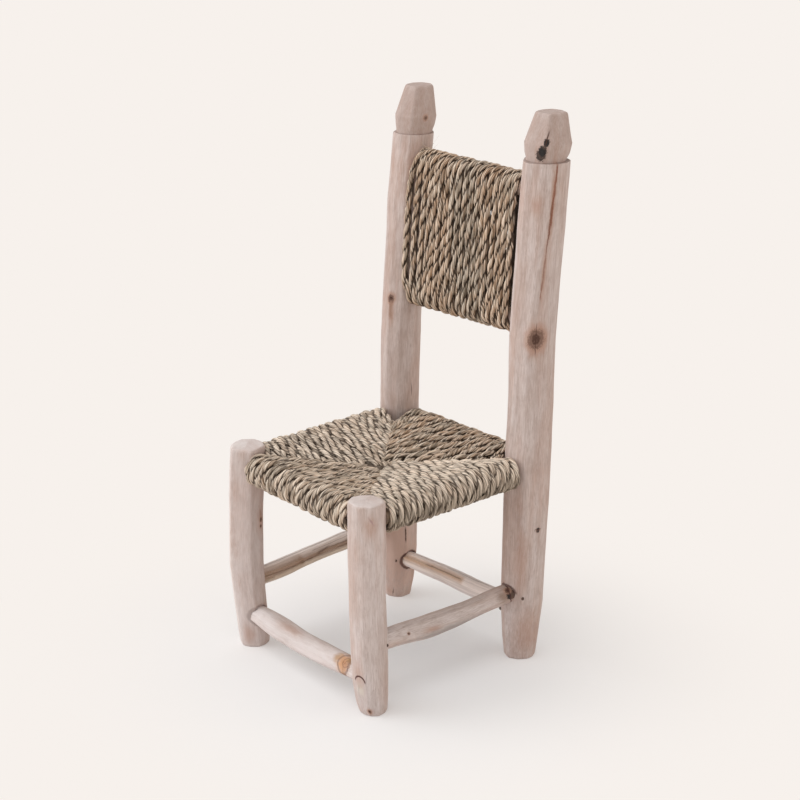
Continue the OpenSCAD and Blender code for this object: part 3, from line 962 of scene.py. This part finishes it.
def seat_path(rail, foot, inner, over, sag):
    """One strand: in under the seat, out round the rail and back over the top to the seam."""
    a, b, inward, up, deep = rail
    point = a + unit(b - a) * foot
    reach = np.append(inner, 0) - point
    reach[2] = 0
    ahead = unit(reach)
    span = np.linalg.norm(reach)
    depth = max(float(reach @ inward), 1.0)
    share = np.linspace(0, 1, max(int(span / 5), 3))[:, None]
    fall = SEAT_DIP * (share * depth / deep) ** 1.15
    rise = SEAT_LIFT * share * depth / deep
    sway = unit(b - a) * (sag * np.sin(math.pi * share))
    top = point + ahead * span * share + up * (SEAT_TURN - fall) + sway
    low = point + ahead * span * share + up * (rise - SEAT_TURN) + sway * 0.6
    if over:
        end = top[-1]
        dive = [end + ahead * 3 - up * 1.5, end + ahead * 6.5 - up * 6, end + ahead * 7 - up * 13]
    else:
        top = top - up * 4.5 * smooth((share * span - span + 11) / 11)
        end = top[-1]
        dive = [end + ahead * 6 - up * 4.5, end + ahead * 14 - up * 7, end + ahead * 21 - up * 8]
    turn = np.linspace(0, math.pi, 16)[1:-1, None]
    roll = point - SEAT_TURN * (np.cos(turn) * up + np.sin(turn) * inward)
    tuck = [low[-1] + ahead * 9 + up * 6, low[-1] + ahead * 5 + up * 1.5]
    return np.vstack([tuck, low[::-1], roll, top, dive])


def build_seat_quarter(name, seed, look):
    """A triangle of strands over one rail, with the neighbours' strands crossing beneath."""
    rng = np.random.default_rng(seed)
    a, b, ra, rb = SEAT_RAILS[name]
    first, last = (SEAMS[corner] for corner in SEAT_QUARTERS[name])
    direction = unit(b - a)
    up = unit(np.cross(direction, SEAT_CENTRE - a))
    inward = np.cross(up, direction)
    deep = float((SEAT_CENTRE - a) @ inward)
    thickness = look.seat_thickness / MM
    length = np.linalg.norm(b - a)
    start, end = ra + thickness * 0.42, length - rb - thickness * 0.42
    count = int(round((end - start) / (thickness * 0.98))) + 1
    half = count / 2
    core = (a, inward, deep, direction)
    skin = Skin()
    for k in range(count):
        foot = start + (end - start) * k / (count - 1) + rng.normal(0, 0.5)
        early = k + 0.5 < half
        corner = first if early else last
        share = (k + 0.5 if early else count - k - 0.5) / half
        inner = corner + (SEAM_CENTRE - corner) * min(share, 0.97) + rng.normal(0, 0.7, 2)
        path = seat_path((a, b, inward, up, deep), foot, inner, not early, rng.normal(0, 1.0))
        path += up * rng.normal(0, 0.35)
        lay_rope(skin, path, thickness * rng.uniform(0.93, 1.04), look, rng, core)
    for k in range(UNDER_STRANDS):
        away = 20 + k * UNDER_STEP
        ends = [corner + (SEAM_CENTRE - corner) * away / deep for corner in (first, last)]
        line = np.linspace(np.append(ends[0], a[2]), np.append(ends[1], b[2]), 8)
        line = line + up * (SEAT_TURN - UNDER_DROP - SEAT_DIP * away / deep)
        lay_rope(skin, line, thickness * 0.95, look, rng, core, 2.5, 2)
    middle = (a + b) / 2 + inward * 40
    frizz(skin, SEAT_FIBRES, rng, lambda spot: unit(spot - middle) * (1, 1, 0.6) + up * 0.5, 9)
    piece = skin.piece(name + "_rope")
    shade(piece, SHARP_ROPE)
    return piece


# ---------------------------------------------------------------- back

BACK_STRANDS = 18
# Where the first strand lies and how far the last lies from it
BACK_START = -96.0
BACK_SPAN = 183.0
BACK_MIDDLE = np.array([0, 123.0, 525.0])
# How far the coil's first strand stands forward and to the left, and how far it bows
EDGE_SWELL = 3.5
EDGE_BOW = -4
# The strands that stand further from the next, and by how much of a strand's width
WIDE_GAPS = {0: 0.064, 8: 0.256, 12: 0.208}
# Where along x the back's rope is mossy (0) and where it is rusty (1)
BACK_HUES = ((-100, -60, -25, 0, 25, 55, 90), (0.85, 0.85, 0.75, 0.3, 0.3, 0.8, 0.7))


def on_rail(rail, x):
    """The point of a back rail's axis at x."""
    a, b = rail[:2]
    return a + (b - a) * (x - a[0]) / (b[0] - a[0])


def build_back(seed, look):
    """One rope wound as a flat coil round the two back rails."""
    rng = np.random.default_rng(seed)
    thickness = look.back_thickness / MM
    turn_r = RAIL_RADIUS + thickness / 2 - 0.1
    steps = [1 + WIDE_GAPS.get(k, 0) + rng.normal(0, 0.03) for k in range(BACK_STRANDS)]
    edge = np.concatenate([[0], np.cumsum(steps)[:-1]])
    x = BACK_START + edge / edge[-1] * BACK_SPAN
    x = np.append(x, x[-1] + 9)
    bow = rng.normal(0, 0.9, BACK_STRANDS)
    bow[0] = EDGE_BOW
    turn = np.linspace(0, math.pi, 14)[:, None]
    run = np.linspace(0, 1, 12)[1:-1, None]
    path = []
    for k in range(BACK_STRANDS):
        here, after = x[k], x[k + 1]
        high, low = on_rail(UPPER_RAIL, here), on_rail(LOWER_RAIL, here)
        down = unit((low - high) * (0, 1, 1))
        front = np.array([0, down[2], -down[1]])
        if k == 0:
            path += [high + down * 62 - front * 2, high + down * 40 - front * (turn_r - 4)]
        path.append(high - turn_r * (np.cos(turn) * front + np.sin(turn) * down))
        swell = EDGE_SWELL * math.exp(-k / 1.2)
        ahead = turn_r + 0.8 * rng.normal() + swell
        line = high + (low - high) * run + front * ahead
        line[:, 0] += bow[k] * np.sin(math.pi * run[:, 0]) + 0.7 * waves(run[:, 0], rng, 3, 0.7)
        line[:, 0] -= swell
        path.append(line)
        drift = np.array([after - here, 0, 0]) * 0.25
        bend = low + turn_r * (np.cos(turn) * front + np.sin(turn) * down)
        path.append(bend + drift * np.linspace(0, 1, 14)[:, None])
        if k < BACK_STRANDS - 1:
            rise = on_rail(UPPER_RAIL, after) - low - drift
            path.append(low + drift + rise * run - front * (turn_r + 0.4 * rng.normal()))
        else:
            end = low + drift
            path += [end - down * 40 - front * (turn_r - 4), end - down * 60 - front * 2]
    skin = Skin()
    line, _ = even_path(np.vstack(path), 2.0, 6)
    low, high = on_rail(LOWER_RAIL, 0), on_rail(UPPER_RAIL, 0)
    core = (low, unit((high - low) * (0, 1, 1)), np.linalg.norm(high - low), np.array([1.0, 0, 0]))
    lay_rope(skin, line, thickness, look, rng, core, 1.7, 4, BACK_HUES)
    frizz(skin, BACK_FIBRES, rng, lambda spot: unit((spot - BACK_MIDDLE) * (0.2, 1, 0.3)), 10)
    left_top = on_rail(UPPER_RAIL, -94)
    for _ in range(TUFT_FIBRES):
        start = left_top + (rng.uniform(-6, 16), rng.uniform(-10, 4), rng.uniform(14, 19))
        away = unit((rng.normal(0, 0.6), rng.normal(-0.2, 0.4), rng.uniform(0.1, 1)))
        whisker(skin, start, away, rng.uniform(8, 20), rng)
    piece = skin.piece("back_winding_rope")
    shade(piece, SHARP_ROPE)
    return piece


# ---------------------------------------------------------------- materials

# The radius that marks on a post are laid out for, in millimetres
POST_GIRTH = 26
# The brown of the scars and of the painted shade round the joints
SCAR_AND_SHADE_BROWN = srgb("54302A")
# The place on the floor round which the chair's shadow shows, in metres, and the paper there
SHADOW_MIDDLE = (0.03, -0.02)
SHADED_PAPER = srgb("F1F1F3")


def mark_distance(parts, height, direction, width, tall):
    """Distance from a mark's middle as a share of its size, and far off on the other side."""
    x, y, z = parts
    out = x * math.cos(direction) + y * math.sin(direction)
    across = (y * math.cos(direction) - x * math.sin(direction)) / (width * MM)
    along = (z - height * MM) / (tall * MM)
    return (across * across + along * along) ** 0.5 + out.below(0, MM) * 50


def line_mark(parts, start, end, width, girth, ragged):
    """A long mark between two places, each [height, direction], on wood of a given radius."""
    x, y, z = parts
    (z_a, turn_a), (z_b, turn_b) = start, end
    middle, turn = (z_a + z_b) / 2, (turn_a + turn_b) / 2
    along = z - middle * MM
    slope = (turn_a - turn_b) * girth / (z_a - z_b)
    across = y * math.cos(turn) - x * math.sin(turn) - along * slope + ragged * 0.003
    line = across.size().below(width * 0.5 * MM, width * 0.4 * MM)
    out = x * math.cos(turn) + y * math.sin(turn)
    return line * along.size().below(abs(z_a - z_b) / 2 * MM, 4 * MM) * out.above(0, MM)


def washed_wood(name, look):
    """Debarked wood with a thin white wash in its grain and the marks of its piece, some of them
    painted shade and painted highlights.
    """
    finish = FINISH[name]
    knots, cracks, splits, scars_and_joint_shade, stains_and_painted_light = (
        finish.get(mark, ()) for mark in ("knots", "cracks", "splits", "scars_and_joint_shade", "stains_and_painted_light")
    )
    tint, white = finish.get("tint", 0), finish.get("white", 0)
    girth = RUNGS[name][1][4] if name in RUNGS else POST_GIRTH
    shader = Shader("Washed wood " + name.replace("_", " "))
    own = shader.attribute("own", "Vector")
    parts = shader.parts(own)
    z = parts[2]
    broad = shader.noise(own, 24, 3, 0.5, 0.22)
    cloud = shader.noise(own, 14, 4, 0.6, 0.5)
    streak = shader.noise(own, 260, 5, 0.6, 0.035)
    fine = shader.noise(own, 1100, 3, 0.6, 0.06)
    wash = shader.noise(own, 60, 6, 0.65, 0.3)
    mottle = shader.noise(own, 95, 6, 0.7, 0.6)
    pores = shader.noise(own, 560, 2, 0.5, 0.12)
    band = shader.noise(own, 85, 3, 0.5, 0.06)
    speck = shader.noise(own, 420, 1, 0.5, 0.6)
    ragged = shader.noise(own, 240, 4, 0.7, 0.35) - 0.5
    fleck = shader.noise(own, 700, 3, 0.6)
    skin = shader.coats(
        look.body,
        (broad.above(0.5, 0.25) * 0.75, look.pale),
        (cloud.above(0.52, 0.14) * 0.4, look.shade),
        (wash.above(0.55, 0.14) * 0.45, look.pale),
        (cloud.below(0.42 + tint * 0.1, 0.1) * (0.3 + tint), look.heart),
        (band.above(0.52, 0.08) * 0.2, look.pale),
        (band.below(0.46, 0.08) * 0.2 + max(tint, 0) * 0.6, look.heart),
        (streak.below(0.45, 0.14) * 0.38, look.shade),
        (fine.above(0.57, 0.08) * 0.25, look.pale),
        (fine.below(0.43, 0.08) * 0.4, look.shade),
        (pores.above(0.7, 0.04) * 0.6, look.shade),
        (mottle.above(0.56, 0.1) * 0.3, look.shade),
    )
    if white:
        skin = shader.mix(wash.above(0.4, 0.2) * white, skin, look.pale)
    if name in SHOULDERS:
        step = SHOULDERS[name] * MM
        skin = shader.coats(
            skin,
            (z.above(step, 0.3 * MM) * 0.4, look.shade),
            ((z - step).size().below(0.5 * MM, 0.4 * MM) * 0.3, look.knot),
        )
    elif name in POSTS:
        # The front posts' tops are painted paler: partly the pale sawn end grain, partly a painted
        # highlight where the lamp above lights them
        sawn_top_highlight = z.above((POSTS[name][1] - 1.5) * MM, 1 * MM)
        skin = shader.mix(sawn_top_highlight * 0.5, skin, look.pale)
    skin = shader.mix(speck.above(0.84, 0.02) * 0.7, skin, look.knot)
    pits = 0.0
    # Stains, and among them a painted highlight and a painted shade
    for height, direction, width, tall, *hue in stains_and_painted_light:
        near = mark_distance(parts, height, direction, width, tall) + ragged * 1.2
        hue, share = (srgb(hue[0]), 0.85) if hue else (look.heart, 0.55)
        skin = shader.mix(near.below(0.75, 0.6) * share, skin, hue)
    for height, direction, size, _, dark in knots:
        near = mark_distance(parts, height, direction, size, size * 1.3) + ragged * 0.7
        heart, halo = (look.knot, 0.7) if dark < 2 else (look.soot, 0.15)
        core = near.below(0.5, 0.12) * fleck.above(0.32, 0.2)
        skin = shader.coats(
            skin,
            (near.below(1.4, 0.5) * halo, look.heart),
            ((near + fleck - 0.5).below(0.95, 0.12) * min(0.5 * dark, 0.95), heart),
            ((near - 0.72).size().below(0.07, 0.07) * 0.35 * dark, heart),
            (core * min(0.85 * dark, 0.98), heart),
        )
        pits = core + pits
    for start, end, width, under in splits:
        line = line_mark(parts, start, end, width, girth, ragged * 1.5)
        torn = shader.mix(streak.above(0.5, 0.1) * 0.4, srgb(under), look.shade)
        skin = shader.mix(line * (0.5 + fleck * 0.75), skin, torn)
        pits = line * 0.3 + pits
    # Scars, and rings and arches of painted shade round the joints
    for height, direction, width, tall, lift, dark in scars_and_joint_shade:
        near = mark_distance(parts, height, direction, width, tall) + ragged * 0.25
        arch = (near - 1).size().below(0.13, 0.08) * z.above((height + lift) * MM, 2 * MM)
        skin = shader.coats(
            skin, (near.below(0.9, 0.3) * 0.25, look.heart), (arch * dark, SCAR_AND_SHADE_BROWN)
        )
        pits = arch + pits
    for start, end, width, dark in cracks:
        line = line_mark(parts, start, end, width, girth, ragged)
        skin = shader.mix(line * dark * (0.55 + fleck * 0.8), skin, look.knot)
        pits = line * dark + pits
    shader.set(
        Base_Color=skin,
        Roughness=0.6 + wash * 0.22,
        Specular_IOR_Level=0.35,
        Normal=shader.bump(streak * 0.35 + fine * 0.2 + wash * 0.3 - pits * 1.2, 0.4, 0.45 * MM),
    )
    return shader.material


def bare_wood(look):
    """Bare branch wood of the rails inside the rope."""
    shader = Shader("Bare rail wood")
    place = shader.node("TexCoord", output="Object")
    streak = shader.noise(place, 220, 4, 0.6)
    broad = shader.noise(place, 40, 3, 0.5)
    skin = shader.mix(broad.above(0.5, 0.2), look.bare, look.body)
    skin = shader.mix(streak.below(0.45, 0.12) * 0.5, skin, look.shade)
    shader.set(
        Base_Color=skin, Roughness=0.75 + streak * 0.1, Normal=shader.bump(streak, 0.4, 0.3 * MM)
    )
    return shader.material


# How far the rope of each part leans to rust, moss and straw, how much painted shade its creases
# get, and how much painted shade it gets below the height of the seat's edge, in millimetres
ROPE_TINTS = {
    "seat weave front": (0, 0.06, 0.18, 0.8, 0),
    "seat weave right": (0, 0.04, 0.58, 0.72, 0.5),
    "seat weave back": (0.04, 0.06, 0.04, 0.85, 0.3),
    "seat weave left": (0, 0.04, 0.48, 0.74, 0.3),
    "back": (0.13, 0.04, 0.06, 0.88, 0),
}
SEAT_EDGE = 256


def plant_rope(part, look):
    """Twisted leaf blades: streaks along each ply, with painted shade in the creases and, for some
    parts, below the seat's edge.
    """
    rust, moss, pale, crease_shade, underside_shade = ROPE_TINTS[part]
    shader = Shader("Plant rope " + part)
    own = shader.attribute("own", "Vector")
    tone = shader.attribute("tone", "Fac")
    depth = shader.attribute("depth", "Fac")
    blade = shader.noise(own, 380, 3, 0.6, 0.05)
    strip = shader.noise(own, 900, 2, 0.5, 0.03)
    patch = shader.noise(own, 20.4, 2, 0.5, 1 / 0.6)
    piece = shader.noise(own, 150, 1, 0.5, 0.4)
    skin = shader.coats(
        look.body,
        (blade.above(0.5, 0.1), look.straw),
        (tone.below(0.35 + moss, 0.25) * 0.6, look.moss),
        (patch.above(0.57, 0.08) * 0.5, look.moss),
        (tone.above(0.75 - rust, 0.2) * 0.5, look.rust),
        (piece.above(0.55, 0.06) * (0.25 + rust * 2), look.rust),
        (piece.below(0.43, 0.06) * 0.35, look.moss),
        (patch.below(0.4, 0.06) * 0.4 + pale, look.straw),
        (strip.above(0.54, 0.08) * 0.6, look.straw),
        (strip.below(0.46, 0.08) * 0.6, look.dark),
        # Painted shade where the depth is low: in the creases and on the side that faces the core
        (depth.below(0.62, 0.12) * crease_shade, look.dark),
    )
    # Painted shade on the rope below the height of the seat's edge, laid on in moss and in the dark
    # of the strips
    if underside_shade:
        height = shader.parts(shader.node("TexCoord", output="Object"))[2]
        under = height.below(SEAT_EDGE * MM, 11 * MM) * underside_shade
        skin = shader.coats(skin, (under, look.moss), (strip.below(0.5, 0.1) * under, look.dark))
    shader.set(
        Base_Color=skin,
        Roughness=0.62 + blade * 0.2,
        Specular_IOR_Level=0.3,
        Normal=shader.bump(strip * 0.6 + blade * 0.7, 0.9, 0.8 * MM),
    )
    return shader.material


def dull_iron():
    """Small forged nail heads, dark with a little rust."""
    shader = Shader("Dull iron")
    place = shader.node("TexCoord", output="Object")
    rust = shader.noise(place, 900, 3, 0.6)
    shader.set(
        Base_Color=shader.mix(rust.above(0.52, 0.1), srgb("574A43"), srgb("6E5142")),
        Metallic=0.5 - rust * 0.4,
        Roughness=0.5 + rust * 0.3,
        Normal=shader.bump(rust, 0.5, 0.3 * MM),
    )
    return shader.material


def studio_paper(look):
    """The pale floor: its own colour, dimmed where the chair shades it."""
    shader = Shader("Studio paper")
    shader.set(Roughness=0.9, Specular_IOR_Level=0.0)
    glow = shader.node("Emission", None, {"Color": look.paper, "Strength": 1.0})
    seen = shader.node("LightPath", output="Is Camera Ray")
    for ray in ("Is Glossy Ray", "Is Transmission Ray"):
        seen = seen + shader.node("LightPath", output=ray)
    x, y, _ = shader.parts(shader.node("TexCoord", output="Object"))
    away = ((x - SHADOW_MIDDLE[0]) ** 2 + (y - SHADOW_MIDDLE[1]) ** 2) ** 0.5
    kept = away.below(look.shadow_reach, look.shadow_reach * 0.9) * look.shadow_share
    share = seen.clamped() * (1 - kept)
    shader.set(Base_Color=shader.mix(kept, look.paper, SHADED_PAPER))
    lit = Value(shader, shader.surface.outputs[0])
    blend = shader.node("MixShader", None, {0: share, 1: lit, 2: glow})
    shader.feed(shader.tree.nodes["Material Output"].inputs[0], blend)
    return shader.material


# ---------------------------------------------------------------- stage

# The camera, solved from the ends of the eight post axes
CAMERA_PLACE = (1.7033, -1.3989, 1.0903)
CAMERA_DEGREES = (70.21, 0, 50.9)
CAMERA_LENS = 84.03
CAMERA_SHIFT = (0.0184, 0.0384)
# Each lamp is [the setting of its strength, its width in degrees, the way to it, its tint].
LAMPS = {
    "Key": ("key_strength", 75, (-0.18, -0.5, 1.15), (1, 1, 1)),
    "Side": ("side_strength", 50, (-0.62, -0.72, 0.22), (0.87, 0.94, 1)),
    "Back": ("back_strength", 60, (0.8, 0.6, 0.3), (1, 0.95, 0.88)),
}
# The floor's rings, from the rim of its edge to its middle: [radius, level]
FLOOR_RINGS = ((60000.0, -20.0), (60000.0, 0.0), (3000.0, 0.0), (1000.0, 0.0), (1.0, 0.0))


def set_camera(scene):
    """The camera that sees the chair from its front right."""
    camera = link_object("Camera", bpy.data.cameras.new("Camera"))
    camera.location = CAMERA_PLACE
    camera.rotation_euler = [math.radians(angle) for angle in CAMERA_DEGREES]
    camera.data.sensor_width = 36
    camera.data.lens = CAMERA_LENS
    camera.data.shift_x, camera.data.shift_y = CAMERA_SHIFT
    scene.camera = camera


def hang_lamps(look):
    """Three wide, soft lamps."""
    for name, (setting, width, toward, tint) in LAMPS.items():
        lamp = link_object(name, bpy.data.lights.new(name, "SUN"))
        lamp.data.energy = getattr(look, setting)
        lamp.data.color = tint
        lamp.data.angle = math.radians(width)
        lamp.rotation_euler = Vector(toward).to_track_quat("Z", "Y").to_euler()


def light_sky(scene, look):
    """Even light from all round, and the paper's colour behind the chair."""
    world = scene.world = bpy.data.worlds.new("Sky")
    world.use_nodes = True
    sky = Tree(world.node_tree)
    even = sky.node("Background", None, {"Color": (1, 1, 1, 1), "Strength": look.sky_strength})
    behind = sky.node("Background", None, {"Color": look.paper, "Strength": 1.0})
    seen = sky.node("LightPath", output="Is Camera Ray")
    blend = sky.node("MixShader", None, {0: seen, 1: even, 2: behind})
    sky.feed(world.node_tree.nodes["World Output"].inputs[0], blend)


def lay_floor(look):
    """A round floor whose edge lies out of sight."""
    angle = round_angles(64)
    radii, level = (np.array(column)[:, None] for column in zip(*FLOOR_RINGS))
    rings = np.stack([radii * np.cos(angle), radii * np.sin(angle), level + 0 * angle], -1)
    skin = Skin()
    skin.tube(rings, rings)
    floor = skin.piece("floor")
    floor.data.shade_flat()
    floor.data.materials.append(studio_paper(look))
    return floor


# ---------------------------------------------------------------- operators


class CHAIR_OT_stage(Operator):
    """Set up the camera, the soft lights and the pale floor"""

    bl_idname = "chair.stage"
    bl_label = "Stage"

    def execute(self, context):
        look = context.scene.chair_stage
        set_camera(context.scene)
        hang_lamps(look)
        light_sky(context.scene, look)
        context.scene.view_settings.view_transform = "Standard"
        floor = lay_floor(look)
        return {"FINISHED"}


class CHAIR_OT_posts(Operator):
    """Whittle the four posts and bore their mortises"""

    bl_idname = "chair.posts"
    bl_label = "Posts"

    def execute(self, context):
        look = context.scene.chair_wood
        for seed, name in enumerate(POSTS, 40):
            dress(build_post(name, seed, look), washed_wood(name, look), "wood", name)
        return {"FINISHED"}


class CHAIR_OT_rungs(Operator):
    """Whittle the four rungs"""

    bl_idname = "chair.rungs"
    bl_label = "Rungs"

    def execute(self, context):
        look = context.scene.chair_wood
        for seed, name in enumerate(RUNGS, 60):
            dress(build_rung(name, seed, look), washed_wood(name, look), "wood", name)
        return {"FINISHED"}


class CHAIR_OT_rails(Operator):
    """Finish the rails inside the rope and the nails of the rungs"""

    bl_idname = "chair.rails"
    bl_label = "Rails and nails"

    def execute(self, context):
        wood, iron = bare_wood(context.scene.chair_wood), dull_iron()
        names = ["seat_rail_front", "seat_rail_right", "seat_rail_back", "seat_rail_left"]
        for name in names + ["back_rail_upper", "back_rail_lower", "rung_nails"]:
            node = bpy.data.objects[name]
            node.data.materials.clear()
            node.data.materials.append(iron if name == "rung_nails" else wood)
        return {"FINISHED"}


class CHAIR_OT_seat(Operator):
    """Weave the four quarters of the seat"""

    bl_idname = "chair.seat"
    bl_label = "Seat"

    def execute(self, context):
        look = context.scene.chair_rope
        for seed, name in enumerate(SEAT_QUARTERS, 80):
            rope = plant_rope(name.replace("_", " "), look)
            dress(build_seat_quarter(name, seed, look), rope, "rope", name)
        return {"FINISHED"}


class CHAIR_OT_back(Operator):
    """Wind the rope round the two back rails"""

    bl_idname = "chair.back"
    bl_label = "Back"

    def execute(self, context):
        look = context.scene.chair_rope
        dress(build_back(100, look), plant_rope("back", look), "rope", "back_winding")
        return {"FINISHED"}


STEPS = (
    CHAIR_OT_stage,
    CHAIR_OT_posts,
    CHAIR_OT_rungs,
    CHAIR_OT_rails,
    CHAIR_OT_seat,
    CHAIR_OT_back,
)


class CHAIR_PT_panel(Panel):
    """The chair's settings and the steps that make it"""

    bl_idname = "CHAIR_PT_panel"
    bl_label = "Rope-Seated Chair"
    bl_space_type = "VIEW_3D"
    bl_region_type = "UI"
    bl_category = "Chair"

    def draw(self, context):
        scene = context.scene
        groups = {"Wood": scene.chair_wood, "Rope": scene.chair_rope, "Stage": scene.chair_stage}
        for title, group in groups.items():
            box = self.layout.box()
            box.label(text=title)
            for key in group.__annotations__:
                box.prop(group, key)
        for step in STEPS:
            self.layout.operator(step.bl_idname)


CLASSES = (ChairWood, ChairRope, ChairStage, *STEPS, CHAIR_PT_panel)


def register():
    for cls in CLASSES:
        bpy.utils.register_class(cls)
    bpy.types.Scene.chair_wood = PointerProperty(type=ChairWood)
    bpy.types.Scene.chair_rope = PointerProperty(type=ChairRope)
    bpy.types.Scene.chair_stage = PointerProperty(type=ChairStage)


def unregister():
    del bpy.types.Scene.chair_stage
    del bpy.types.Scene.chair_rope
    del bpy.types.Scene.chair_wood
    for cls in reversed(CLASSES):
        bpy.utils.unregister_class(cls)


def main():
    register()
    bpy.ops.chair.stage()
    bpy.ops.chair.posts()
    bpy.ops.chair.rungs()
    bpy.ops.chair.rails()
    bpy.ops.chair.seat()
    bpy.ops.chair.back()


if __name__ == "__main__":
    main()
